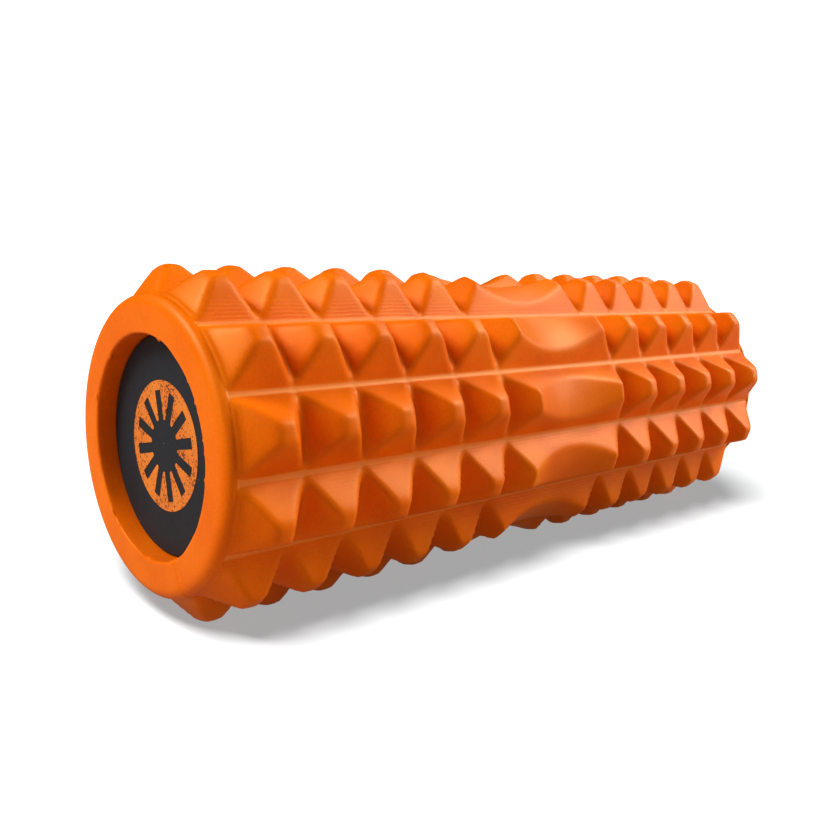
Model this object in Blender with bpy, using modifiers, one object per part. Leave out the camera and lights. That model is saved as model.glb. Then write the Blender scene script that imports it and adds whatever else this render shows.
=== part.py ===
"""Massage roller: a moulded foam sleeve with spikes and scooped bars on a capped hollow core.

Metres, +Z up. The roller's axis lies along X. It rests on its two lowest columns of spikes,
with z = 0 at the surface that it lies on and x = y = 0 at the middle of its length.
"""

import math

import bmesh
import bpy

# Pattern of the sleeve
COLUMNS = 12  # columns of spikes round the sleeve
SPIKES = 5  # spikes on each side of the bar in every column
PITCH = 0.0244  # length of one spike along the roller
BAR = 0.0779  # length of the scooped bar in the middle of a column
VALLEY_RADIUS = 0.0523  # radius at the bottom of the valleys
SHARP_HEIGHT = 0.0148  # height that the flat flanks would meet at
TIP_HEIGHT = 0.0115  # height of a spike's rounded tip above the valleys
SHOULDER = 0.34  # share of a cell where a flank ends and the rounded tip starts
SCOOP_SPAN = 0.0562  # length of the scoop, from one end crest of the bar to the other
CREST_HEIGHT = 0.0105  # height of the bar's end crests above the valleys
SCOOP_HEIGHT = 0.0048  # height of a bar above the valleys at the lowest point of its scoop
SCOOP_STEPS = 8

# Collar at each end of the sleeve
COLLAR = 0.00405  # from the first groove to the end face
COLLAR_RADIUS = 0.0526
COLLAR_ROUND = 0.0036  # rounding of the collar's outer edge, measured across the end face
COLLAR_ROUND_DEPTH = 0.0027  # the same rounding, measured along the axis
COLLAR_ROUND_STEPS = 3
GROOVE_RADIUS = 0.0519  # bottom of the groove between the collar and the first spikes
BORE_RADIUS = 0.0392
BORE_CHAMFER = 0.0007

# Core and end caps
GAP = 0.0003  # between pieces that touch
RECESS = 0.0071  # from the end face of the sleeve to the face of the cap
CAP_THICKNESS = 0.003
CAP_EDGE = 0.0006
TUBE_WALL = 0.003
SKIRT_WALL = 0.0022
SKIRT_DEPTH = 0.018
SKIRT_LEAD_IN = 0.001
ROUND_STEPS = 64

# Printed mark on each cap: a ring with rays that point inwards
MARK_RADIUS = 0.023
MARK_BAND = 0.0034
MARK_RAYS = 12
RAY_TIP_RADIUS = 0.0095
RAY_ROOT_SHARE = 0.62  # share of a ray's pitch that its root takes
RAY_TIP_WIDTH = 0.0012
MARK_THICKNESS = 0.00025
MARK_STEPS = 72

TURN = 2 * math.pi
LENGTH = 2 * COLLAR + 2 * SPIKES * PITCH + BAR
HALF_LENGTH = LENGTH / 2
HALF_COLUMN = TURN / COLUMNS / 2
TIP_RADIUS = VALLEY_RADIUS + TIP_HEIGHT
AXIS_HEIGHT = TIP_RADIUS * math.cos(HALF_COLUMN)  # tips of the two lowest columns touch z = 0
CAP_FACE = HALF_LENGTH - RECESS
TUBE_RADIUS = BORE_RADIUS - GAP
TUBE_BORE = TUBE_RADIUS - TUBE_WALL


def clear_scene():
    for obj in list(bpy.data.objects):
        bpy.data.objects.remove(obj, do_unlink=True)


def make_material(name, colour, roughness, metallic=0.0):
    material = bpy.data.materials.new(name)
    material.use_nodes = True
    shader = material.node_tree.nodes["Principled BSDF"]
    shader.inputs["Base Color"].default_value = (*colour, 1.0)
    shader.inputs["Roughness"].default_value = roughness
    shader.inputs["Metallic"].default_value = metallic
    material.diffuse_color = (*colour, 1.0)
    return material


def add_object(name, data, collection, axis, material):
    """Places a piece that was modelled round X on the roller's axis."""
    obj = bpy.data.objects.new(name, data)
    collection.objects.link(obj)
    obj.parent = axis
    data.materials.append(material)
    return obj


def shade_round(mesh, angle):
    mesh.shade_smooth()
    mesh.set_sharp_from_angle(angle=math.radians(angle))


def spike_rows(start):
    """Rows of one spike as (x, height), from its groove to just before the next groove."""
    shoulder = 2 * SHOULDER * SHARP_HEIGHT
    return [
        (start, 0.0),
        (start + SHOULDER * PITCH, shoulder),
        (start + PITCH / 2, TIP_HEIGHT),
        (start + (1 - SHOULDER) * PITCH, shoulder),
    ]


def bar_rows(start):
    """Rows of the bar: a flank up to a crest at each end and an arc scooped out between the crests."""
    half_span = SCOOP_SPAN / 2
    sag = CREST_HEIGHT - SCOOP_HEIGHT
    radius = (half_span**2 + sag**2) / (2 * sag)
    rows = [(start, 0.0)]
    for i in range(SCOOP_STEPS + 1):
        along = half_span * (2 * i / SCOOP_STEPS - 1)
        height = SCOOP_HEIGHT + radius - math.sqrt(radius**2 - along**2)
        rows.append((start + BAR / 2 + along, height))
    return rows


def pattern_rows():
    x = -HALF_LENGTH + COLLAR
    rows = []
    for _ in range(SPIKES):
        rows += spike_rows(x)
        x += PITCH
    rows += bar_rows(x)
    x += BAR
    for _ in range(SPIKES):
        rows += spike_rows(x)
        x += PITCH
    return rows[1:]  # the first groove belongs to the collar


def collar_points():
    """The collar's section as (distance from the end face, radius), from the bore to the groove."""
    points = [(BORE_CHAMFER, BORE_RADIUS), (0.0, BORE_RADIUS + BORE_CHAMFER)]
    for i in range(COLLAR_ROUND_STEPS + 1):
        turn = TURN / 4 * i / COLLAR_ROUND_STEPS
        depth = COLLAR_ROUND_DEPTH * (1 - math.cos(turn))
        points.append((depth, COLLAR_RADIUS - COLLAR_ROUND * (1 - math.sin(turn))))
    points.append((COLLAR, GROOVE_RADIUS))
    return points


def column_points(height):
    """One column's section at a row: (share of the column, height above the valleys)."""
    shoulder = min(SHOULDER, height / (2 * SHARP_HEIGHT)) if height else SHOULDER
    side = min(height, 2 * shoulder * SHARP_HEIGHT)
    return [(0.0, 0.0), (shoulder, side), (0.5, height), (1 - shoulder, side)]


def ring_of(x, radius, height):
    """A closed ring of points round X at one row of the sleeve."""
    ring = []
    for column in range(COLUMNS):
        for share, above in column_points(height):
            angle = TURN * (column + share) / COLUMNS - TURN / 4
            r = radius + above
            ring.append((x, r * math.cos(angle), r * math.sin(angle)))
    return ring


def sleeve_rings():
    """Rings round the whole section: near collar, pattern, far collar, and back through the bore."""
    collar = collar_points()
    rings = [ring_of(-HALF_LENGTH + depth, radius, 0.0) for depth, radius in collar]
    rings += [ring_of(x, VALLEY_RADIUS, height) for x, height in pattern_rows()]
    rings += [ring_of(HALF_LENGTH - depth, radius, 0.0) for depth, radius in reversed(collar)]
    return rings


def foam_sleeve_mesh():
    """A loft through rings of unlike section, closed on itself through the bore."""
    bm = bmesh.new()
    rings = [[bm.verts.new(point) for point in ring] for ring in sleeve_rings()]
    count = len(rings[0])
    per_column = count // COLUMNS
    for row, ring in enumerate(rings):
        following = rings[(row + 1) % len(rings)]
        rising = ring[2].co.yz.length < following[2].co.yz.length
        for i in range(count):
            j = (i + 1) % count
            first_half = i % per_column < per_column // 2
            if rising == first_half:
                bm.faces.new((ring[i], ring[j], following[j]))
                bm.faces.new((ring[i], following[j], following[i]))
            else:
                bm.faces.new((ring[i], ring[j], following[i]))
                bm.faces.new((ring[j], following[j], following[i]))
    bmesh.ops.recalc_face_normals(bm, faces=bm.faces)
    mesh = bpy.data.meshes.new("foam_sleeve")
    bm.to_mesh(mesh)
    bm.free()
    shade_round(mesh, 20)
    return mesh


def turned_object(name, profile, closed, collection, axis, material):
    """A profile of (x, radius) points, turned round X by a Screw modifier."""
    mesh = bpy.data.meshes.new(name)
    count = len(profile)
    edges = [(i, (i + 1) % count) for i in range(count if closed else count - 1)]
    mesh.from_pydata([(x, 0.0, radius) for x, radius in profile], edges, [])
    obj = add_object(name, mesh, collection, axis, material)
    screw = obj.modifiers.new("turn", "SCREW")
    screw.axis = "X"
    screw.steps = ROUND_STEPS
    screw.render_steps = ROUND_STEPS
    screw.use_merge_vertices = True
    screw.merge_threshold = 0.00001
    return obj


def tube_profile():
    half = CAP_FACE - CAP_THICKNESS - GAP
    return [(half, TUBE_BORE), (half, TUBE_RADIUS), (-half, TUBE_RADIUS), (-half, TUBE_BORE)]


def cap_profile():
    """A cap's section for the +X end: a plain face with a skirt that plugs into the tube."""
    back = CAP_FACE - CAP_THICKNESS
    skirt_end = back - SKIRT_DEPTH
    outer = TUBE_BORE - GAP
    inner = outer - SKIRT_WALL
    return [
        (CAP_FACE, 0.0),
        (CAP_FACE, TUBE_RADIUS - CAP_EDGE),
        (CAP_FACE - CAP_EDGE, TUBE_RADIUS),
        (back, TUBE_RADIUS),
        (back, outer),
        (skirt_end + SKIRT_LEAD_IN, outer),
        (skirt_end, outer - SKIRT_LEAD_IN),
        (skirt_end, inner),
        (back, inner),
        (back, 0.0),
    ]


def mark_outlines():
    """The printed mark's outer circle and its inner edge, with rays that point inwards."""
    outer = []
    for i in range(MARK_STEPS):
        angle = TURN * i / MARK_STEPS
        outer.append((MARK_RADIUS * math.cos(angle), MARK_RADIUS * math.sin(angle)))
    inner = []
    band_radius = MARK_RADIUS - MARK_BAND
    ray_pitch = TURN / MARK_RAYS
    root = ray_pitch * RAY_ROOT_SHARE / 2
    tip = RAY_TIP_WIDTH / 2 / RAY_TIP_RADIUS
    for ray in range(MARK_RAYS):
        middle = ray * ray_pitch
        for turn, radius in (
            (-ray_pitch / 2, band_radius),
            (-root, band_radius),
            (-tip, RAY_TIP_RADIUS),
            (tip, RAY_TIP_RADIUS),
            (root, band_radius),
        ):
            angle = middle + turn
            inner.append((radius * math.cos(angle), radius * math.sin(angle)))
    return outer, inner


def mark_mesh():
    """A flat outline with its inner edge cut out, as thin as a printed film, facing +X."""
    curve = bpy.data.curves.new("mark_outline", "CURVE")
    curve.dimensions = "2D"
    curve.fill_mode = "BOTH"
    curve.extrude = MARK_THICKNESS / 2
    for outline in mark_outlines():
        spline = curve.splines.new("POLY")
        spline.points.add(len(outline) - 1)
        for point, (x, y) in zip(spline.points, outline):
            point.co = (x, y, 0.0, 1.0)
        spline.use_cyclic_u = True
    guide = bpy.data.objects.new("mark_outline", curve)
    bpy.context.scene.collection.objects.link(guide)
    graph = bpy.context.evaluated_depsgraph_get()
    mesh = bpy.data.meshes.new_from_object(guide.evaluated_get(graph))
    bpy.data.objects.remove(guide)
    mesh.name = "end_mark"
    bm = bmesh.new()
    bm.from_mesh(mesh)
    bmesh.ops.remove_doubles(bm, verts=bm.verts, dist=0.00001)
    for vert in bm.verts:
        x, y, z = vert.co
        vert.co = (z + CAP_FACE + GAP + MARK_THICKNESS / 2, x, y)
    bmesh.ops.recalc_face_normals(bm, faces=bm.faces)
    bm.to_mesh(mesh)
    bm.free()
    return mesh


def main():
    clear_scene()
    collection = bpy.data.collections.new("massage_roller")
    bpy.context.scene.collection.children.link(collection)
    axis = bpy.data.objects.new("roller_axis", None)
    axis.location = (0.0, 0.0, AXIS_HEIGHT)
    collection.objects.link(axis)

    foam = make_material("orange_foam", (0.93, 0.2, 0.01), 0.55)
    core = make_material("black_core_plastic", (0.02, 0.02, 0.022), 0.6)
    cap = make_material("black_cap_plastic", (0.024, 0.024, 0.026), 0.62)
    ink = make_material("orange_print", (0.85, 0.22, 0.03), 0.55)

    add_object("foam_sleeve", foam_sleeve_mesh(), collection, axis, foam)
    turned_object("core_tube", tube_profile(), True, collection, axis, core)
    shared_mark = mark_mesh()
    for side, turn in (("near", math.pi), ("far", 0.0)):
        end_cap = turned_object(f"end_cap_{side}", cap_profile(), False, collection, axis, cap)
        end_cap.rotation_euler.z = turn
        end_mark = add_object(f"end_mark_{side}", shared_mark, collection, axis, ink)
        end_mark.rotation_euler.z = turn


main()
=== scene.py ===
import math

import bmesh
import bpy
from mathutils import Matrix, Vector


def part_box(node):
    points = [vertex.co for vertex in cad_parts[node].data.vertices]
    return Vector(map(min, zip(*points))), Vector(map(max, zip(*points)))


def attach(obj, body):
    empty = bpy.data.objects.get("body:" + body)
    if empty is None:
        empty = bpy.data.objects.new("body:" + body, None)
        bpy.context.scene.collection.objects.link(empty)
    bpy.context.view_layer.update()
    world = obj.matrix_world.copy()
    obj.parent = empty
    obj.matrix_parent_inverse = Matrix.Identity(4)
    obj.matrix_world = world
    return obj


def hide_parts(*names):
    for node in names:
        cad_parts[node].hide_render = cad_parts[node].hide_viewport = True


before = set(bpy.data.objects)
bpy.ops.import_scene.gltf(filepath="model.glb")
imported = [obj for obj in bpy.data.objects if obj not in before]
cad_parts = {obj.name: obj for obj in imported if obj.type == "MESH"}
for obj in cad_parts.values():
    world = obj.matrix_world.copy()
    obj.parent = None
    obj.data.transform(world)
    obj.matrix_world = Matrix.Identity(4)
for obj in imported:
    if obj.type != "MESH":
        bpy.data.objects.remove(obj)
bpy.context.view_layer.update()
print("frame loaded:", sorted(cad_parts))

# Every place below hangs on the roller's axis, which lies along X, and on the pieces' own boxes.
sleeveLow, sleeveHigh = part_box("foam_sleeve")
axisHeight = (sleeveLow.z + sleeveHigh.z) / 2
halfLength = (sleeveHigh.x - sleeveLow.x) / 2
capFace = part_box("end_cap_far")[1].x
millimetre = 0.001
hair = 0.00001  # places closer than this are the same place


def addNode(tree, kind, given=(), **settings):
    # given: values, nodes or sockets for the node's inputs, as a list or keyed by name or number
    node = tree.nodes.new(kind)
    for name, value in settings.items():
        setattr(node, name, value)
    for key, value in given.items() if isinstance(given, dict) else enumerate(given):
        if isinstance(value, bpy.types.Node):
            value = value.outputs[0]
        if isinstance(value, bpy.types.NodeSocket):
            tree.links.new(value, node.inputs[key])
        elif value is not None:
            node.inputs[key].default_value = value
    return node


def linear(hexColour):
    # sRGB hex to the linear colour that a shader takes
    parts = [int(hexColour[i:i + 2], 16) / 255 for i in (1, 3, 5)]
    return tuple(c / 12.92 if c <= 0.04045 else ((c + 0.055) / 1.055) ** 2.4 for c in parts) + (1.0,)


def startMaterial(name, fixed):
    # a material whose shader sockets hold the values that are the same all over
    material = bpy.data.materials.new(name)
    material.use_nodes = True
    shader = material.node_tree.nodes["Principled BSDF"]
    for socket, value in fixed.items():
        shader.inputs[socket].default_value = value
    return material, material.node_tree, shader


def runTree(name, mesh, tree, values):
    # sets the named inputs, evaluates once and keeps the result as a plain mesh at the origin
    obj = bpy.data.objects.new(name, mesh)
    bpy.context.scene.collection.objects.link(obj)
    modifier = obj.modifiers.new("make", "NODES")
    modifier.node_group = tree
    for item in tree.interface.items_tree:
        if item.in_out == "INPUT" and item.name in values:
            modifier[item.identifier] = values[item.name]
    graph = bpy.context.evaluated_depsgraph_get()
    made = bpy.data.meshes.new_from_object(obj.evaluated_get(graph), depsgraph=graph)
    obj.modifiers.remove(modifier)
    obj.data = made
    made.name = name
    return obj


# The sleeve is one piece of moulded foam: columns of spikes with a scooped bar between them.
sleeve = {
    "columns": 12,
    "spikes": 5,  # on each side of the bar
    "pitch": 0.0244,
    "bar": 0.0779,
    "valleyRadius": 0.0515,  # where the flat flanks would meet; the fillets fill it by about 1 mm
    "sideHeight": 0.0168,  # from there to where a column's two side flanks would meet
    "topHeight": 0.0119,  # the blunt top that cuts them off
    "topRound": 0.0024,
    "endHeight": 0.0160,  # from the valley to where a spike's two end flanks would meet
    "endCrestRound": 0.0045,
    "sideValleyRound": 0.0015,
    "endValleyRound": 0.0024,
    "edgeRound": 0.0022,  # where a side flank meets an end flank
    "barCrest": 0.0114,
    "barCrestRound": 0.0015,
    "scoopSpan": 0.0562,
    "scoopLow": 0.0051,
    "scoopEdgeRound": 0.0009,
    "unevenness": 0.00022,
    "unevenScale": 55.0,  # swells per metre
    "collar": 0.00405,
    "collarRadius": 0.0526,
    "collarRound": 0.0044,
    "collarRoundDepth": 0.0030,
    "grooveRadius": 0.0527,
    "boreRadius": 0.0392,
    "wallDepth": 0.005,  # further out than this from the bore is the outside
    "mouthRound": 0.0009,
    "mouthWave": 0.0016,  # how far the trimmed mouth strays
    "trimScale": 60.0,  # strays per metre
    "trimReach": 0.0045,  # how far from the edge the trim shows
    "mouthBurr": 0.0009,
    "burrScale": 420.0,  # burrs per metre
    "burrFrom": (0.60, 0.75),  # noise at which a burr begins and is whole
    "raggedFrom": (0.47, 0.60),  # the same for the stretches of mouth that have burrs
    "burrReach": (0.0022, 0.0008),  # from the edge: where a burr ends and where it is whole
    "boreDepth": 0.0125,
    "seamAngle": -120,  # degrees round X from +Y, where the moulded sheet is butted
    "seamWidth": 0.0006,
    "seamDepth": 0.00028,
    "steps": 22,  # mesh steps across one spike, both ways
    "crowding": 0.30,  # how much closer the steps stand in valleys and on crests
    # how far the end flank stands over the side flank where the material's share begins, and is whole
    "flankFrom": (-0.0004, 0.0012),
}


def crowded(share):
    # 0 to 1 across a spike, with the steps drawn together at both valleys and at the crest
    return share - sleeve["crowding"] * math.sin(4 * math.pi * share) / (4 * math.pi)


def patternPlaces():
    # x of every row of the mesh between the two end grooves
    steps, pitch, bar = sleeve["steps"], sleeve["pitch"], sleeve["bar"]
    spike = [crowded(i / steps) * pitch for i in range(steps)]
    half = steps // 2
    scoopSteps = round((bar - pitch) / pitch * steps)
    barRows = spike[:half]
    barRows += [pitch / 2 + (bar - pitch) * i / scoopSteps for i in range(scoopSteps)]
    barRows += [bar - pitch + place for place in spike[half:]]
    places = []
    x = -halfLength + sleeve["collar"]
    for cell in [spike] * sleeve["spikes"] + [barRows] + [spike] * sleeve["spikes"]:
        places += [x + place for place in cell]
        x += bar if cell is barRows else pitch
    return places + [x]


def collarSection():
    # (depth behind the end face, radius) from inside the bore, over the mouth and the face, to the groove
    s = sleeve
    section = [(s["boreDepth"] * (1 - i / 5), s["boreRadius"]) for i in range(5)]
    for i in range(6):
        turn = math.pi / 2 * i / 5
        section.append((s["mouthRound"] * (1 - math.sin(turn)),
                        s["boreRadius"] + s["mouthRound"] * (1 - math.cos(turn))))
    faceStart = s["boreRadius"] + s["mouthRound"]
    faceEnd = s["collarRadius"] - s["collarRound"]
    section += [(0.0, faceStart + (faceEnd - faceStart) * i / 7) for i in range(1, 7)]
    for i in range(11):
        turn = math.pi / 2 * i / 10
        section.append((s["collarRoundDepth"] * (1 - math.cos(turn)),
                        faceEnd + s["collarRound"] * math.sin(turn)))
    last, groove = section[-1], (s["collar"], s["grooveRadius"])
    for i in range(1, 4):
        ease = (1 - math.cos(math.pi * i / 4)) / 2
        section.append((last[0] + (groove[0] - last[0]) * i / 4, last[1] + (groove[1] - last[1]) * ease))
    return section


def sleeveAngles():
    # round the axis from straight down, with two more steps close beside the seam
    steps, columns = sleeve["steps"], sleeve["columns"]
    angles = [(column + crowded(i / steps)) * 2 * math.pi / columns - math.pi / 2
              for column in range(columns) for i in range(steps)]
    seam = math.radians(sleeve["seamAngle"]) + 2 * math.pi
    beside = sleeve["seamWidth"] / 2 / sleeve["boreRadius"]
    return sorted(angles + [seam - beside, seam + beside])


def blankSleeve():
    # a plain tube with the collars turned on it; the tree below raises the pattern on it
    section = collarSection()
    rows = [(-halfLength + depth, radius) for depth, radius in section]
    rows += [(x, sleeve["valleyRadius"]) for x in patternPlaces()]
    rows += [(halfLength - depth, radius) for depth, radius in reversed(section)]
    angles = sleeveAngles()
    mesh = bpy.data.meshes.new("sleeve_blank")
    points = [(x, radius * math.cos(angle), radius * math.sin(angle))
              for x, radius in rows for angle in angles]
    count = len(angles)
    faces = []
    for row in range(len(rows)):
        here, there = row * count, (row + 1) % len(rows) * count
        for i in range(count):
            j = (i + 1) % count
            faces.append((here + i, there + i, there + j, here + j))
    mesh.from_pydata(points, [], faces)
    mesh.update()
    return mesh


def softCorner(tree, distance, rounding):
    # the distance from a line, with a parabola in place of the sharp turn at nought
    near = addNode(tree, "ShaderNodeMath", [distance, rounding], operation="MINIMUM")
    square = addNode(tree, "ShaderNodeMath", [near, near], operation="MULTIPLY")
    double = addNode(tree, "ShaderNodeMath", [rounding, 2.0], operation="MULTIPLY")
    bowl = addNode(tree, "ShaderNodeMath", [square, double], operation="DIVIDE")
    base = addNode(tree, "ShaderNodeMath", [rounding, 0.5, bowl], operation="MULTIPLY_ADD")
    rest = addNode(tree, "ShaderNodeMath", [distance, near], operation="SUBTRACT")
    return addNode(tree, "ShaderNodeMath", [base, rest], operation="ADD")


def sideFlankHeight(tree, given, turn, halfColumn):
    # a flat flank from the valley up to the crest, in polar form, cut off by the blunt top
    maths = "ShaderNodeMath"
    fold = addNode(tree, maths, [turn, halfColumn], operation="PINGPONG")
    crestRadius = addNode(tree, maths, [given["Valley Radius"], given["Side Height"]], operation="ADD")
    valleyTurn = addNode(tree, maths, [given["Side Valley Round"], given["Valley Radius"]],
                         operation="DIVIDE")
    fromValley = softCorner(tree, fold, valleyTurn)
    fromCrest = addNode(tree, maths, [halfColumn, fromValley], operation="SUBTRACT")
    ratio = addNode(tree, maths, [crestRadius, given["Valley Radius"]], operation="DIVIDE")
    cosine = addNode(tree, maths, [halfColumn], operation="COSINE")
    sine = addNode(tree, maths, [halfColumn], operation="SINE")
    rise = addNode(tree, maths, [ratio, cosine], operation="SUBTRACT")
    lean = addNode(tree, maths, [rise, sine], operation="DIVIDE")
    leaning = addNode(tree, maths, [lean, addNode(tree, maths, [fromCrest], operation="SINE")],
                      operation="MULTIPLY")
    reach = addNode(tree, maths, [addNode(tree, maths, [fromCrest], operation="COSINE"), leaning],
                    operation="ADD")
    radius = addNode(tree, maths, [crestRadius, reach], operation="DIVIDE")
    height = addNode(tree, maths, [radius, given["Valley Radius"]], operation="SUBTRACT")
    return addNode(tree, maths, [height, given["Top Height"], given["Top Round"]], operation="SMOOTH_MIN")


def endFlankHeight(tree, given, along):
    # rises from each groove and falls to the next, over the spikes outside the bar
    maths = "ShaderNodeMath"
    halfPitch = addNode(tree, maths, [given["Pitch"], 0.5], operation="MULTIPLY")
    slope = addNode(tree, maths, [given["End Height"], halfPitch], operation="DIVIDE")
    fold = addNode(tree, maths, [along, halfPitch], operation="PINGPONG")
    fold = softCorner(tree, fold, given["End Valley Round"])
    toCrest = addNode(tree, maths, [halfPitch, fold], operation="SUBTRACT")
    toCrest = softCorner(tree, toCrest, given["End Crest Round"])
    rise = addNode(tree, maths, [halfPitch, toCrest], operation="SUBTRACT")
    return addNode(tree, maths, [rise, slope], operation="MULTIPLY")


def barHeight(tree, given, fromMiddle, toGroove):
    # a flank up to the crest at each end of the bar, and an arc scooped out between the crests
    maths = "ShaderNodeMath"
    halfBar = addNode(tree, maths, [given["Bar Length"], 0.5], operation="MULTIPLY")
    halfSpan = addNode(tree, maths, [given["Scoop Span"], 0.5], operation="MULTIPLY")
    run = addNode(tree, maths, [halfBar, halfSpan], operation="SUBTRACT")
    slope = addNode(tree, maths, [given["Bar Crest"], run], operation="DIVIDE")
    toValley = softCorner(tree, toGroove, given["End Valley Round"])
    flank = addNode(tree, maths, [toValley, slope], operation="MULTIPLY")
    sag = addNode(tree, maths, [given["Bar Crest"], given["Scoop Low"]], operation="SUBTRACT")
    spanSquare = addNode(tree, maths, [halfSpan, halfSpan], operation="MULTIPLY")
    sagSquare = addNode(tree, maths, [sag, sag], operation="MULTIPLY")
    squares = addNode(tree, maths, [spanSquare, sagSquare], operation="ADD")
    doubleSag = addNode(tree, maths, [sag, 2.0], operation="MULTIPLY")
    arc = addNode(tree, maths, [squares, doubleSag], operation="DIVIDE")
    arcSquare = addNode(tree, maths, [arc, arc], operation="MULTIPLY")
    placeSquare = addNode(tree, maths, [fromMiddle, fromMiddle], operation="MULTIPLY")
    under = addNode(tree, maths, [arcSquare, placeSquare], operation="SUBTRACT")
    drop = addNode(tree, maths, [under], operation="SQRT")
    centre = addNode(tree, maths, [given["Scoop Low"], arc], operation="ADD")
    scoop = addNode(tree, maths, [centre, drop], operation="SUBTRACT")
    return addNode(tree, maths, [flank, scoop, given["Bar Crest Round"]], operation="SMOOTH_MIN")


# the pattern tree's inputs, and what they are set to
patternSizes = {
    "Columns": float(sleeve["columns"]),
    "Pitch": sleeve["pitch"],
    "Bar Length": sleeve["bar"],
    "Valley Radius": sleeve["valleyRadius"],
    "Side Height": sleeve["sideHeight"],
    "Top Height": sleeve["topHeight"],
    "Top Round": sleeve["topRound"],
    "End Height": sleeve["endHeight"],
    "End Crest Round": sleeve["endCrestRound"],
    "Side Valley Round": sleeve["sideValleyRound"],
    "End Valley Round": sleeve["endValleyRound"],
    "Edge Round": sleeve["edgeRound"],
    "Bar Crest": sleeve["barCrest"],
    "Bar Crest Round": sleeve["barCrestRound"],
    "Scoop Span": sleeve["scoopSpan"],
    "Scoop Low": sleeve["scoopLow"],
    "Scoop Edge Round": sleeve["scoopEdgeRound"],
    "Unevenness": sleeve["unevenness"],
    "Half Length": halfLength,
    "Collar": sleeve["collar"],
    "Bore Radius": sleeve["boreRadius"],
    "Mouth Wave": sleeve["mouthWave"],
    "Mouth Burr": sleeve["mouthBurr"],
    "Seam Angle": math.radians(sleeve["seamAngle"]),
    "Seam Width": sleeve["seamWidth"],
    "Seam Depth": sleeve["seamDepth"],
}


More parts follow.
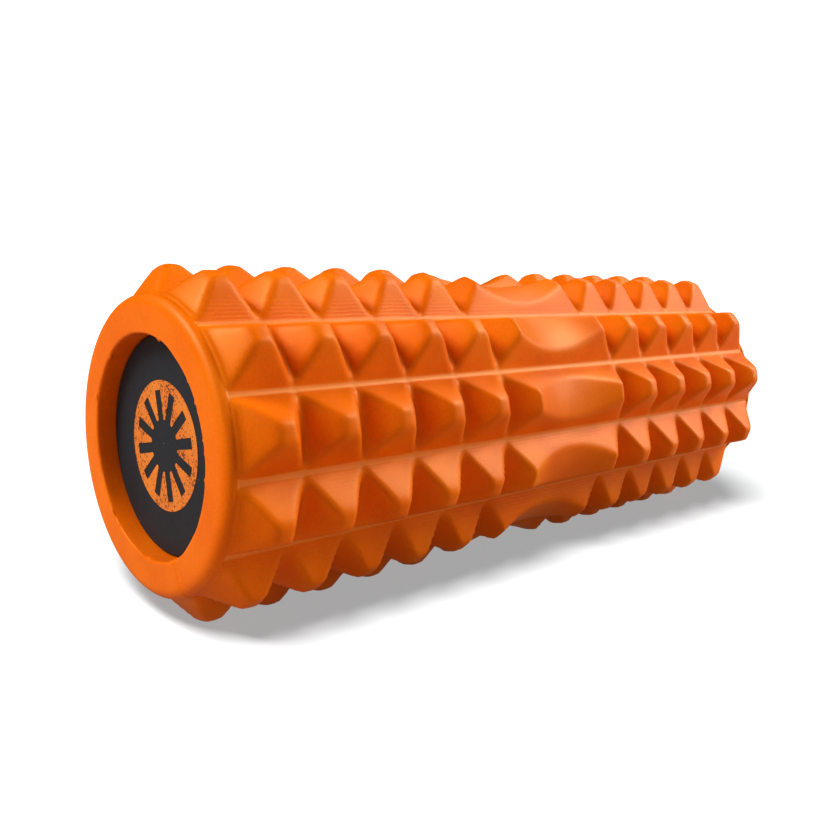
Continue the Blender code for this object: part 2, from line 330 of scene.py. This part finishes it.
def patternTree():
    # spikes and scooped bars: the lower of a side flank and an end flank, with every corner softened
    s = sleeve
    tree = bpy.data.node_groups.new("moulded_pattern", "GeometryNodeTree")
    face = tree.interface
    face.new_socket("Geometry", in_out="INPUT", socket_type="NodeSocketGeometry")
    for name in patternSizes:
        face.new_socket(name, in_out="INPUT", socket_type="NodeSocketFloat")
    face.new_socket("Material", in_out="INPUT", socket_type="NodeSocketMaterial")
    face.new_socket("Geometry", in_out="OUTPUT", socket_type="NodeSocketGeometry")
    given = addNode(tree, "NodeGroupInput").outputs
    maths = "ShaderNodeMath"

    position = addNode(tree, "GeometryNodeInputPosition")
    place = addNode(tree, "ShaderNodeSeparateXYZ", [position])
    along = addNode(tree, maths, [place.outputs[0]], operation="ABSOLUTE")
    turn = addNode(tree, maths, [place.outputs[1], place.outputs[2]], operation="ARCTAN2")
    halfColumn = addNode(tree, maths, [math.pi, given["Columns"]], operation="DIVIDE")
    halfBar = addNode(tree, maths, [given["Bar Length"], 0.5], operation="MULTIPLY")
    fromBar = addNode(tree, maths, [along, halfBar], operation="SUBTRACT")
    toBar = addNode(tree, maths, [fromBar], operation="ABSOLUTE")
    inSpikes = addNode(tree, maths, [fromBar, 0.0], operation="GREATER_THAN")

    side = sideFlankHeight(tree, given, turn, halfColumn)
    spikeEnd = endFlankHeight(tree, given, toBar)
    bar = barHeight(tree, given, along, toBar)
    end = addNode(tree, "GeometryNodeSwitch", [inSpikes, bar, spikeEnd], input_type="FLOAT")
    halfSpan = addNode(tree, maths, [given["Scoop Span"], 0.5], operation="MULTIPLY")
    rounding = addNode(tree, "ShaderNodeMapRange", [along, 0.0, halfSpan, given["Scoop Edge Round"],
                                                    given["Edge Round"]], interpolation_type="SMOOTHSTEP")
    height = addNode(tree, maths, [side, end, rounding], operation="SMOOTH_MIN")

    # the mould's flanks are never quite flat
    ripple = addNode(tree, "ShaderNodeTexNoise", {"Vector": position, "Scale": s["unevenScale"],
                                                  "Detail": 1.5})
    lump = addNode(tree, maths, [ripple, 0.5], operation="SUBTRACT")
    swing = addNode(tree, maths, [given["Unevenness"], 2.0], operation="MULTIPLY")
    height = addNode(tree, maths, [lump, swing, height], operation="MULTIPLY_ADD")

    # the collars keep the section that they were turned to
    flat = addNode(tree, "ShaderNodeCombineXYZ", [0.0, place.outputs[1], place.outputs[2]])
    radius = addNode(tree, "ShaderNodeVectorMath", [flat], operation="LENGTH").outputs["Value"]
    outward = addNode(tree, "ShaderNodeVectorMath", [flat], operation="NORMALIZE")
    overBore = addNode(tree, maths, [radius, given["Bore Radius"]], operation="SUBTRACT")
    onOutside = addNode(tree, maths, [overBore, s["wallDepth"]], operation="GREATER_THAN")
    patternEnd = addNode(tree, maths, [given["Half Length"], given["Collar"]], operation="SUBTRACT")
    patternEnd = addNode(tree, maths, [patternEnd, hair], operation="ADD")
    inPattern = addNode(tree, maths, [along, patternEnd], operation="LESS_THAN")
    patterned = addNode(tree, maths, [inPattern, onOutside], operation="MULTIPLY")
    raised = addNode(tree, maths, [height, patterned], operation="MULTIPLY")

    # the mouth was trimmed by hand: it wanders a little, and small burrs hang in
    depth = addNode(tree, maths, [given["Half Length"], along], operation="SUBTRACT")
    nearMouth = addNode(tree, "ShaderNodeMapRange", [depth, s["trimReach"], 0.0, 0.0, 1.0],
                        interpolation_type="SMOOTHSTEP")
    nearEdge = addNode(tree, "ShaderNodeMapRange", [overBore, s["trimReach"], 0.0, 0.0, 1.0],
                       interpolation_type="SMOOTHSTEP")
    trimmed = addNode(tree, maths, [nearMouth, nearEdge], operation="MULTIPLY")
    knife = addNode(tree, "ShaderNodeTexNoise", {"Vector": position, "Scale": s["trimScale"], "Detail": 1.0})
    stray = addNode(tree, maths, [knife, 0.5], operation="SUBTRACT")
    wander = addNode(tree, maths, [stray, given["Mouth Wave"]], operation="MULTIPLY")
    shred = addNode(tree, "ShaderNodeTexNoise", {"Vector": position, "Scale": s["burrScale"], "Detail": 1.0})
    hanging = addNode(tree, "ShaderNodeMapRange", [shred, *s["burrFrom"], 0.0, 1.0])
    ragged = addNode(tree, "ShaderNodeMapRange", [knife, *s["raggedFrom"], 0.0, 1.0])
    hanging = addNode(tree, maths, [hanging, ragged], operation="MULTIPLY")
    burr = addNode(tree, maths, [hanging, given["Mouth Burr"]], operation="MULTIPLY")
    fromLip = addNode(tree, maths, [depth, overBore], operation="ADD")
    atLip = addNode(tree, "ShaderNodeMapRange", [fromLip, *s["burrReach"], 0.0, 1.0],
                    interpolation_type="SMOOTHSTEP")
    burr = addNode(tree, maths, [burr, atLip], operation="MULTIPLY")
    trim = addNode(tree, maths, [wander, trimmed], operation="MULTIPLY")
    trim = addNode(tree, maths, [trim, burr], operation="SUBTRACT")

    raised = addNode(tree, maths, [raised, trim], operation="ADD")
    offset = addNode(tree, "ShaderNodeVectorMath", {0: outward, "Scale": raised}, operation="SCALE")

    # the butt seam shows as a fine groove across each collar
    fromY = addNode(tree, maths, [place.outputs[2], place.outputs[1]], operation="ARCTAN2")
    fromSeam = addNode(tree, maths, [fromY, given["Seam Angle"]], operation="SUBTRACT")
    fromSeam = addNode(tree, maths, [fromSeam], operation="ABSOLUTE")
    seamSide = addNode(tree, maths, [fromSeam, radius], operation="MULTIPLY")
    quarterWidth = addNode(tree, maths, [given["Seam Width"], 0.25], operation="MULTIPLY")
    onSeam = addNode(tree, maths, [seamSide, quarterWidth], operation="LESS_THAN")
    inCollar = addNode(tree, maths, [1.0, inPattern], operation="SUBTRACT")
    pressed = addNode(tree, maths, [onSeam, inCollar], operation="MULTIPLY")
    pressed = addNode(tree, maths, [pressed, given["Seam Depth"]], operation="MULTIPLY")
    pressed = addNode(tree, maths, [pressed, -1.0], operation="MULTIPLY")
    normal = addNode(tree, "GeometryNodeInputNormal")
    groove = addNode(tree, "ShaderNodeVectorMath", {0: normal, "Scale": pressed}, operation="SCALE")
    offset = addNode(tree, "ShaderNodeVectorMath", [offset, groove], operation="ADD")

    # what the material needs to know: how much of a point is side flank
    endOverSide = addNode(tree, maths, [end, side], operation="SUBTRACT")
    flankShare = addNode(tree, "ShaderNodeMapRange", [endOverSide, *s["flankFrom"], 0.0, 1.0])
    flankShare = addNode(tree, maths, [flankShare, patterned], operation="MULTIPLY")
    marked = addNode(tree, "GeometryNodeStoreNamedAttribute",
                     {"Geometry": given["Geometry"], "Name": "sideFlank", "Value": flankShare},
                     data_type="FLOAT", domain="POINT")
    marked = addNode(tree, "GeometryNodeStoreNamedAttribute",
                     {"Geometry": marked, "Name": "pattern", "Value": patterned},
                     data_type="FLOAT", domain="POINT")
    shaped = addNode(tree, "GeometryNodeSetPosition", {"Geometry": marked, "Offset": offset})
    smooth = addNode(tree, "GeometryNodeSetShadeSmooth", [shaped])
    whole = addNode(tree, "GeometryNodeRealizeInstances", [smooth])
    finished = addNode(tree, "GeometryNodeSetMaterial", {"Geometry": whole, "Material": given["Material"]})
    addNode(tree, "NodeGroupOutput", [finished])
    return tree


foam = {
    "colour": "#f27704",
    "paler": "#f7800c",
    "deeper": "#ea6d02",
    "cloud": 26.0,  # millimetres across a cloud of paler or deeper pigment
    "cloudRange": (0.3, 0.7),
    "grain": 0.9,  # millimetres; the real skin's pores are finer, and drawn this coarse so that they show
    "grainShade": (0.95, 1.05),
    "grainDepth": 0.030,
    "speck": 16.0,  # millimetres between specks of dirt
    "speckSize": (0.014, 0.028),  # of that spacing: where a speck is full and where it ends
    "speckStrength": 0.4,
    "speckColour": "#7a2a08",
    # painted highlight: the paler colour drawn into the bottom of the valleys
    "paintedHighlight": "#ffac64",
    "valleyHighlight": 0.48,
    "valleyReach": (0.76, 1.10),  # millimetres of height over which the painted valley highlight fades
    "gloss": "#ffce88",  # the dyed skin tints what it reflects
    "glossLevel": 0.42,
    "roughness": 0.43,
    "toolMark": 0.95,  # millimetres of height between two cutter lines in the mould
    "toolMarkDepth": 0.035,
    "toolMarkFrom": 0.5,  # millimetres above the valley where the lines are deepest
    "toolMarkReach": 8.0,  # and where they have faded
    "toolDrift": 14.0,  # millimetres over which the lines stray
    "toolDriftTurn": 5.0,
    "polishedTurn": 120,  # degrees from straight down towards -Y, where the mould was polished smooth
    "polishedReach": (25, 38),  # degrees to either side: smooth up to the first, marked from the second
    "polishedMarks": 0.2,  # what is left of the lines there
}


def evaFoam():
    # moulded EVA foam: a soft closed skin, matt with a wide low gloss, and the mould's cutter lines on it
    f = foam
    material, tree, shader = startMaterial("mouldedEvaFoam", {
        "Roughness": f["roughness"], "IOR": 1.5, "Specular IOR Level": f["glossLevel"],
        "Specular Tint": linear(f["gloss"])})
    maths = "ShaderNodeMath"
    coords = addNode(tree, "ShaderNodeTexCoord").outputs["Object"]
    centred = addNode(tree, "ShaderNodeMapping", {"Vector": coords, "Location": (0.0, 0.0, -axisHeight)})
    place = addNode(tree, "ShaderNodeSeparateXYZ", [centred])

    # colour: cloudy pigment, a fine grain and a few specks
    cloud = addNode(tree, "ShaderNodeTexNoise", {"Vector": centred, "Scale": 1 / (f["cloud"] * millimetre),
                                                 "Detail": 3.0})
    clouded = addNode(tree, "ShaderNodeValToRGB", [cloud])
    for element, position in zip(clouded.color_ramp.elements, f["cloudRange"]):
        element.position = position
    clouded.color_ramp.elements[0].color = linear(f["deeper"])
    clouded.color_ramp.elements[1].color = linear(f["paler"])
    clouded.color_ramp.elements.new(0.5).color = linear(f["colour"])
    grain = addNode(tree, "ShaderNodeTexNoise", {"Vector": centred, "Scale": 1 / (f["grain"] * millimetre),
                                                 "Detail": 3.0, "Roughness": 0.6})
    shade = addNode(tree, "ShaderNodeMapRange", [grain, 0.3, 0.7, *f["grainShade"]])
    grained = addNode(tree, "ShaderNodeVectorMath", {0: clouded, "Scale": shade}, operation="SCALE")
    dots = addNode(tree, "ShaderNodeTexVoronoi", {"Vector": centred, "Scale": 1 / (f["speck"] * millimetre)})
    speck = addNode(tree, "ShaderNodeMapRange", [dots.outputs["Distance"], *f["speckSize"],
                                                 f["speckStrength"], 0.0])
    coloured = addNode(tree, "ShaderNodeMix", {0: speck, 6: grained, 7: linear(f["speckColour"])},
                       data_type="RGBA")

    # painted highlight: the bottom of the valleys is drawn paler, in place of the gloss that catches the
    # light there
    flat = addNode(tree, "ShaderNodeCombineXYZ", [0.0, place.outputs[1], place.outputs[2]])
    radius = addNode(tree, "ShaderNodeVectorMath", [flat], operation="LENGTH").outputs["Value"]
    above = addNode(tree, maths, [radius, sleeve["valleyRadius"]], operation="SUBTRACT")
    low, high = (height * millimetre for height in f["valleyReach"])
    pale = addNode(tree, "ShaderNodeMapRange", [above, low, high, f["valleyHighlight"], 0.0],
                   interpolation_type="SMOOTHSTEP")
    pattern = addNode(tree, "ShaderNodeAttribute", attribute_name="pattern").outputs["Fac"]
    pale = addNode(tree, maths, [pale, pattern], operation="MULTIPLY")
    coloured = addNode(tree, "ShaderNodeMix", {0: pale, 6: coloured.outputs[2], 7: linear(f["paintedHighlight"])},
                       data_type="RGBA")
    tree.links.new(coloured.outputs[2], shader.inputs["Base Color"])

    # cutter lines: along the axis, at even heights above the valley, strongest low on the side flanks
    drift = addNode(tree, "ShaderNodeTexNoise", {
        "Vector": centred, "Scale": 1 / (f["toolDrift"] * millimetre), "Detail": 2.0})
    phase = addNode(tree, maths, [above, 2 * math.pi / (f["toolMark"] * millimetre)], operation="MULTIPLY")
    phase = addNode(tree, maths, [drift, f["toolDriftTurn"], phase], operation="MULTIPLY_ADD")
    line = addNode(tree, maths, [phase], operation="SINE")
    fade = addNode(tree, "ShaderNodeMapRange", [above, f["toolMarkFrom"] * millimetre,
                                                f["toolMarkReach"] * millimetre, 1.0, 0.0])
    flank = addNode(tree, "ShaderNodeAttribute", attribute_name="sideFlank").outputs["Fac"]
    turn = math.radians(f["polishedTurn"])
    outward = addNode(tree, "ShaderNodeVectorMath", [flat], operation="NORMALIZE")
    polished = addNode(tree, "ShaderNodeVectorMath", [outward, (0.0, -math.sin(turn), -math.cos(turn))],
                       operation="DOT_PRODUCT").outputs["Value"]
    smooth, marked = (math.cos(math.radians(reach)) for reach in f["polishedReach"])
    clear = addNode(tree, "ShaderNodeMapRange", [polished, smooth, marked, f["polishedMarks"], 1.0])
    strength = addNode(tree, maths, [fade, flank], operation="MULTIPLY")
    strength = addNode(tree, maths, [strength, clear], operation="MULTIPLY")
    marks = addNode(tree, maths, [line, strength], operation="MULTIPLY")
    marks = addNode(tree, maths, [marks, f["toolMarkDepth"] * millimetre], operation="MULTIPLY")
    relief = addNode(tree, maths, [grain, f["grainDepth"] * millimetre, marks], operation="MULTIPLY_ADD")
    bump = addNode(tree, "ShaderNodeBump", {"Height": relief, "Distance": 1.0})
    tree.links.new(bump.outputs["Normal"], shader.inputs["Normal"])
    return material


def makeSleeve():
    obj = runTree("foamSleeve", blankSleeve(), patternTree(), {**patternSizes, "Material": evaFoam()})
    obj.data.transform(Matrix.Translation((0.0, 0.0, axisHeight)))
    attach(obj, "root")
    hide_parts("foam_sleeve")
    print("sleeve:", len(obj.data.polygons), "faces")


# A plain mark is printed on each cap: a ring with rays that point inwards.
printedMark = {
    "rays": 12,
    "radius": 0.023,
    "band": 0.0034,
    "rayTipRadius": 0.0095,
    "rayRootShare": 0.62,
    "rayTipWidth": 0.0014,
    "film": 0.00012,
    "gap": 0.00002,  # between the cap's face and the ink
    "arcSteps": 8,
    "innerTipShare": 0.965,  # each ray's tip bows in a little
    "ink": "#dc6a26",
    "inkPaler": "#f09a3a",
    "bare": "#33221c",
    "texture": 0.9,  # millimetres; the cap's etched texture, as coarse as it needs to be to show
    "inkFlow": 16.0,  # millimetres between thick and thin ink
    "cover": (0.51, 0.64),  # how high the texture must stand to be missed by thin and by thick ink
}


def raySector():
    # one ray and its stretch of the ring, open at both cuts, so that the next one closes it
    m = printedMark
    half = math.pi / m["rays"]
    steps = m["arcSteps"]
    outer = [(half * (2 * i / steps - 1), m["radius"]) for i in range(steps + 1)]
    root = half * m["rayRootShare"]
    tip = m["rayTipWidth"] / 2 / m["rayTipRadius"]
    bandRadius = m["radius"] - m["band"]
    tipRadius = m["rayTipRadius"]
    inner = [(half, bandRadius), (root, bandRadius), (tip, tipRadius), (0.0, tipRadius * m["innerTipShare"]),
             (-tip, tipRadius), (-root, bandRadius), (-half, bandRadius)]
    outline = outer + inner
    bm = bmesh.new()
    layers = []
    for x in (0.0, m["film"]):
        layers.append([bm.verts.new((x, radius * math.cos(turn), radius * math.sin(turn)))
                       for turn, radius in outline])
    back, front = layers
    bm.faces.new(list(reversed(back)))
    bm.faces.new(front)
    count = len(outline)
    cuts = (len(outer) - 1, count - 1)
    for i in range(count):
        if i not in cuts:
            j = (i + 1) % count
            bm.faces.new((back[i], back[j], front[j], front[i]))
    mesh = bpy.data.meshes.new("ray_sector")
    bm.to_mesh(mesh)
    bm.free()
    return mesh


def markTree():
    # turns copies of one sector round the axis
    tree = bpy.data.node_groups.new("printed_mark", "GeometryNodeTree")
    face = tree.interface
    face.new_socket("Geometry", in_out="INPUT", socket_type="NodeSocketGeometry")
    face.new_socket("Rays", in_out="INPUT", socket_type="NodeSocketInt")
    face.new_socket("Material", in_out="INPUT", socket_type="NodeSocketMaterial")
    face.new_socket("Geometry", in_out="OUTPUT", socket_type="NodeSocketGeometry")
    given = addNode(tree, "NodeGroupInput").outputs
    step = addNode(tree, "ShaderNodeMath", [2 * math.pi, given["Rays"]], operation="DIVIDE")
    index = addNode(tree, "GeometryNodeInputIndex")
    turn = addNode(tree, "ShaderNodeMath", [index, step], operation="MULTIPLY")
    rotation = addNode(tree, "ShaderNodeCombineXYZ", [turn])
    points = addNode(tree, "GeometryNodePoints", {"Count": given["Rays"]})
    copies = addNode(tree, "GeometryNodeInstanceOnPoints", {"Points": points, "Instance": given["Geometry"],
                                                            "Rotation": rotation})
    whole = addNode(tree, "GeometryNodeRealizeInstances", [copies])
    finished = addNode(tree, "GeometryNodeSetMaterial", {"Geometry": whole, "Material": given["Material"]})
    addNode(tree, "NodeGroupOutput", [finished])
    return tree


def padPrint():
    # pad-printed ink on textured plastic: matt orange that misses the low spots of the texture
    m = printedMark
    material, tree, shader = startMaterial("padPrintedInk", {"Roughness": 0.55, "IOR": 1.5})
    coords = addNode(tree, "ShaderNodeTexCoord").outputs["Object"]
    texture = addNode(tree, "ShaderNodeTexNoise", {"Vector": coords, "Scale": 1 / (m["texture"] * millimetre),
                                                   "Detail": 2.0, "Roughness": 0.7})
    thin = addNode(tree, "ShaderNodeTexNoise", {"Vector": coords, "Scale": 1 / (m["inkFlow"] * millimetre),
                                                "Detail": 1.0})
    cover = addNode(tree, "ShaderNodeMapRange", [thin, 0.35, 0.65, *m["cover"]])
    missed = addNode(tree, "ShaderNodeMath", [texture, cover], operation="SUBTRACT")
    missed = addNode(tree, "ShaderNodeMapRange", [missed, -0.02, 0.05, 0.0, 0.85])
    tone = addNode(tree, "ShaderNodeMix", {0: thin, 6: linear(m["ink"]), 7: linear(m["inkPaler"])},
                   data_type="RGBA")
    inked = addNode(tree, "ShaderNodeMix", {0: missed, 6: tone.outputs[2], 7: linear(m["bare"])},
                    data_type="RGBA")
    tree.links.new(inked.outputs[2], shader.inputs["Base Color"])
    return material


def makeMarks():
    m = printedMark
    tree, ink = markTree(), padPrint()
    for side, turn in (("near", math.pi), ("far", 0.0)):
        obj = runTree("endPrint_" + side, raySector(), tree, {"Rays": m["rays"], "Material": ink})
        bm = bmesh.new()
        bm.from_mesh(obj.data)
        bmesh.ops.remove_doubles(bm, verts=bm.verts, dist=hair)
        bmesh.ops.recalc_face_normals(bm, faces=bm.faces)
        bm.to_mesh(obj.data)
        bm.free()
        place = Matrix.Translation((0.0, 0.0, axisHeight)) @ Matrix.Rotation(turn, 4, "Z")
        obj.data.transform(place @ Matrix.Translation((capFace + m["gap"], 0.0, 0.0)))
        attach(obj, "root")
        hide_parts("end_mark_" + side)
    print("printed marks: 2")


# The caps and the tube keep their own meshes and are only given a finish.
cap = {
    "colour": "#1c2125",
    "hazeColour": "#292e33",
    "gloss": "#d8e8ff",
    "etch": 0.8,  # millimetres; coarser than the real texture, so that it shows
    "etchShade": (0.8, 1.2),
    "etchDepth": 0.05,
    "haze": 22.0,  # millimetres across a hazy patch
    "dust": 9.0,  # millimetres between specks of dust
    "dustSize": (0.02, 0.035),  # of that spacing: where a speck is full and where it ends
    "dustStrength": 0.7,
    "dustColour": "#b9b2a8",
}

tube = {
    "colour": "#1c1c1e",
    "lineColour": "#29292b",
    "line": 1.2,  # millimetres between the lines that the die leaves
    "lineStretch": 0.02,  # they run along the axis
    "lineDepth": 0.04,
}


def mouldedCap():
    # injection-moulded ABS with an etched texture: a dull black that only catches light at a low angle
    c = cap
    material, tree, shader = startMaterial("texturedBlackAbs", {
        "Roughness": 0.62, "IOR": 1.52, "Specular Tint": linear(c["gloss"])})
    coords = addNode(tree, "ShaderNodeTexCoord").outputs["Object"]
    etch = addNode(tree, "ShaderNodeTexNoise", {"Vector": coords, "Scale": 1 / (c["etch"] * millimetre),
                                                "Detail": 3.0, "Roughness": 0.65})
    haze = addNode(tree, "ShaderNodeTexNoise", {"Vector": coords, "Scale": 1 / (c["haze"] * millimetre),
                                                "Detail": 3.0})
    tone = addNode(tree, "ShaderNodeMix", {0: haze, 6: linear(c["colour"]), 7: linear(c["hazeColour"])},
                   data_type="RGBA")
    shade = addNode(tree, "ShaderNodeMapRange", [etch, 0.3, 0.7, *c["etchShade"]])
    toned = addNode(tree, "ShaderNodeVectorMath", {0: tone.outputs[2], "Scale": shade}, operation="SCALE")
    dots = addNode(tree, "ShaderNodeTexVoronoi", {"Vector": coords, "Scale": 1 / (c["dust"] * millimetre)})
    dust = addNode(tree, "ShaderNodeMapRange", [dots.outputs["Distance"], *c["dustSize"],
                                                c["dustStrength"], 0.0])
    dusty = addNode(tree, "ShaderNodeMix", {0: dust, 6: toned, 7: linear(c["dustColour"])}, data_type="RGBA")
    tree.links.new(dusty.outputs[2], shader.inputs["Base Color"])
    bump = addNode(tree, "ShaderNodeBump", {"Height": etch, "Distance": c["etchDepth"] * millimetre})
    tree.links.new(bump.outputs["Normal"], shader.inputs["Normal"])
    return material


def extrudedTube():
    # extruded HDPE: black with a waxy gloss and fine lines along its length
    t = tube
    material, tree, shader = startMaterial("extrudedBlackHdpe", {"Roughness": 0.45, "IOR": 1.54})
    coords = addNode(tree, "ShaderNodeTexCoord").outputs["Object"]
    drawn = addNode(tree, "ShaderNodeMapping", {"Vector": coords, "Scale": (t["lineStretch"], 1.0, 1.0)})
    lines = addNode(tree, "ShaderNodeTexNoise", {"Vector": drawn, "Scale": 1 / (t["line"] * millimetre),
                                                 "Detail": 2.0})
    tone = addNode(tree, "ShaderNodeMix", {0: lines, 6: linear(t["colour"]), 7: linear(t["lineColour"])},
                   data_type="RGBA")
    tree.links.new(tone.outputs[2], shader.inputs["Base Color"])
    bump = addNode(tree, "ShaderNodeBump", {"Height": lines, "Distance": t["lineDepth"] * millimetre})
    tree.links.new(bump.outputs["Normal"], shader.inputs["Normal"])
    return material


def dressCore():
    capMaterial = mouldedCap()
    for name, material in (("end_cap_near", capMaterial), ("end_cap_far", capMaterial),
                           ("core_tube", extrudedTube())):
        for slot in bpy.data.objects[name].material_slots:
            slot.material = material
    print("core and caps: materials set")


stage = {
    "floorSize": 12.0,
    "floorWhite": 0.15,  # dim under strong light, so that no orange bounce tints the shadow
    "glow": 0.345,  # what the camera sees of the lit table in the roller's shadow
    "glowFar": 1.05,
    "glowRange": (0.20, 0.80),  # metres from the middle over which it grows to that
    "underGlow": 0.17,  # what the table throws up at the roller close under it, dimmed there as painted shade where the roller covers it
    "outerGlow": 0.55,
    "seenTint": "#fafeff",
    "thrownTint": "#ffe2cc",  # warm, as light that has been between the spikes
    "underWidth": 0.09,
    "underEdge": (0.6, 1.4),  # of that width: where the covered part ends and the open table begins
    "lightDistance": 1.5,
    "lightSize": 0.6,
    "tableLight": (-64, 58, 130.0),  # lights the table alone, so that only one shadow falls on it
    # degrees from -Y towards +X, degrees up, watts
    "lights": {
        "keyLeft": (-115, 42, 15.6),
        "keyRight": (60, 42, 12.4),
        "keyRightLow": (60, 18, 5.9),
        "leftLow": (-90, 18, 2.7),
        "leftFront": (-90, 42, 1.0),
        "rightBack": (110, 42, 1.9),
        "rightFront": (85, 42, 1.0),
        "frontLow": (-15, 18, 1.4),
    },
}


def tableTop():
    # a white table top that glows in place of the light it would throw back: the camera sees it dim close to
    # the roller, so that the table light's shadow shows grey there, and brighter further off; at the roller
    # it throws a warm glow, dimmed close under it as painted shade where the roller covers it
    material, tree, shader = startMaterial("tableGlowWithPaintedShade", {
        "Roughness": 1.0, "Specular IOR Level": 0.0})
    coords = addNode(tree, "ShaderNodeTexCoord").outputs["Object"]
    toCamera = addNode(tree, "ShaderNodeLightPath").outputs["Is Camera Ray"]
    white = stage["floorWhite"]
    paint = addNode(tree, "ShaderNodeMix", {0: toCamera, 6: (0.0, 0.0, 0.0, 1.0),
                                            7: (white, white, white, 1.0)}, data_type="RGBA")
    tree.links.new(paint.outputs[2], shader.inputs["Base Color"])
    away = addNode(tree, "ShaderNodeVectorMath", [coords], operation="LENGTH").outputs["Value"]
    seen = addNode(tree, "ShaderNodeMapRange", [away, *stage["glowRange"], stage["glow"], stage["glowFar"]])
    place = addNode(tree, "ShaderNodeSeparateXYZ", [coords])
    coveredHalf = halfLength - stage["underWidth"]
    beyondEnd = addNode(tree, "ShaderNodeMath", [place.outputs[0]], operation="ABSOLUTE")
    beyondEnd = addNode(tree, "ShaderNodeMath", [beyondEnd, coveredHalf], operation="SUBTRACT")
    beyondEnd = addNode(tree, "ShaderNodeMath", [beyondEnd, 0.0], operation="MAXIMUM")
    across = addNode(tree, "ShaderNodeCombineXYZ", [beyondEnd, place.outputs[1]])
    across = addNode(tree, "ShaderNodeVectorMath", [across], operation="LENGTH").outputs["Value"]
    coveredEnd, openStart = (share * stage["underWidth"] for share in stage["underEdge"])
    # painted shade: the glow thrown at the roller is dimmer close under it
    thrown = addNode(tree, "ShaderNodeMapRange", [across, coveredEnd, openStart, stage["underGlow"],
                                                  stage["outerGlow"]])
    glow = addNode(tree, "ShaderNodeMix", {0: toCamera, 2: thrown, 3: seen}, data_type="FLOAT")
    tree.links.new(glow.outputs[0], shader.inputs["Emission Strength"])
    tint = addNode(tree, "ShaderNodeMix", {0: toCamera, 6: linear(stage["thrownTint"]),
                                           7: linear(stage["seenTint"])}, data_type="RGBA")
    tree.links.new(tint.outputs[2], shader.inputs["Emission Color"])
    return material


def setStage():
    bm = bmesh.new()
    bmesh.ops.create_grid(bm, x_segments=1, y_segments=1, size=stage["floorSize"] / 2)
    mesh = bpy.data.meshes.new("studio_floor")
    bm.to_mesh(mesh)
    bm.free()
    floor = bpy.data.objects.new("studio_floor", mesh)
    bpy.context.scene.collection.objects.link(floor)
    mesh.materials.append(tableTop())

    world = bpy.data.worlds.new("studio")
    bpy.context.scene.world = world
    world.use_nodes = True
    background = world.node_tree.nodes["Background"]
    background.inputs["Color"].default_value = (1.0, 1.0, 1.0, 1.0)
    backdrop = addNode(world.node_tree, "ShaderNodeLightPath").outputs["Is Camera Ray"]
    world.node_tree.links.new(backdrop, background.inputs["Strength"])
    return floor


def lightGroup(name, floor, state):
    # the objects that a light shines on: the floor alone, or all but the floor
    group = bpy.data.collections.new(name)
    group.objects.link(floor)
    group.collection_objects[0].light_linking.link_state = state
    return group


def addSoftbox(name, turn, rise, power, group):
    data = bpy.data.lights.new(name, "AREA")
    data.size = stage["lightSize"]
    data.energy = power
    light = bpy.data.objects.new(name, data)
    turn, rise = math.radians(turn), math.radians(rise)
    direction = Vector((math.sin(turn) * math.cos(rise), -math.cos(turn) * math.cos(rise), math.sin(rise)))
    light.location = Vector((0.0, 0.0, axisHeight)) + direction * stage["lightDistance"]
    light.rotation_euler = (-direction).to_track_quat("-Z", "Y").to_euler()
    light.light_linking.receiver_collection = group
    bpy.context.scene.collection.objects.link(light)


def setLights(floor):
    addSoftbox("tableLight", *stage["tableLight"], lightGroup("table_alone", floor, "INCLUDE"))
    roller = lightGroup("roller_alone", floor, "EXCLUDE")
    for name, place in stage["lights"].items():
        addSoftbox(name, *place, roller)
    print("lights:", len(stage["lights"]) + 1)


view = {
    "lens": 37.886,
    "sensor": 36.0,
    "place": (-0.3004, -0.2751, 0.0774),  # from the middle of the roller's axis
    "turn": (78.136, -3.665, -43.082),
}


def setCamera():
    data = bpy.data.cameras.new("camera")
    data.lens = view["lens"]
    data.sensor_width = view["sensor"]
    data.clip_start = 0.01
    camera = bpy.data.objects.new("camera", data)
    x, y, z = view["place"]
    camera.location = (x, y, z + axisHeight)
    camera.rotation_euler = [math.radians(angle) for angle in view["turn"]]
    bpy.context.scene.collection.objects.link(camera)
    bpy.context.scene.camera = camera
    print("camera set")


setCamera()
setLights(setStage())
makeSleeve()
makeMarks()
dressCore()
bpy.context.scene.view_settings.view_transform = "Standard"
bpy.context.scene.view_settings.look = "Medium High Contrast"
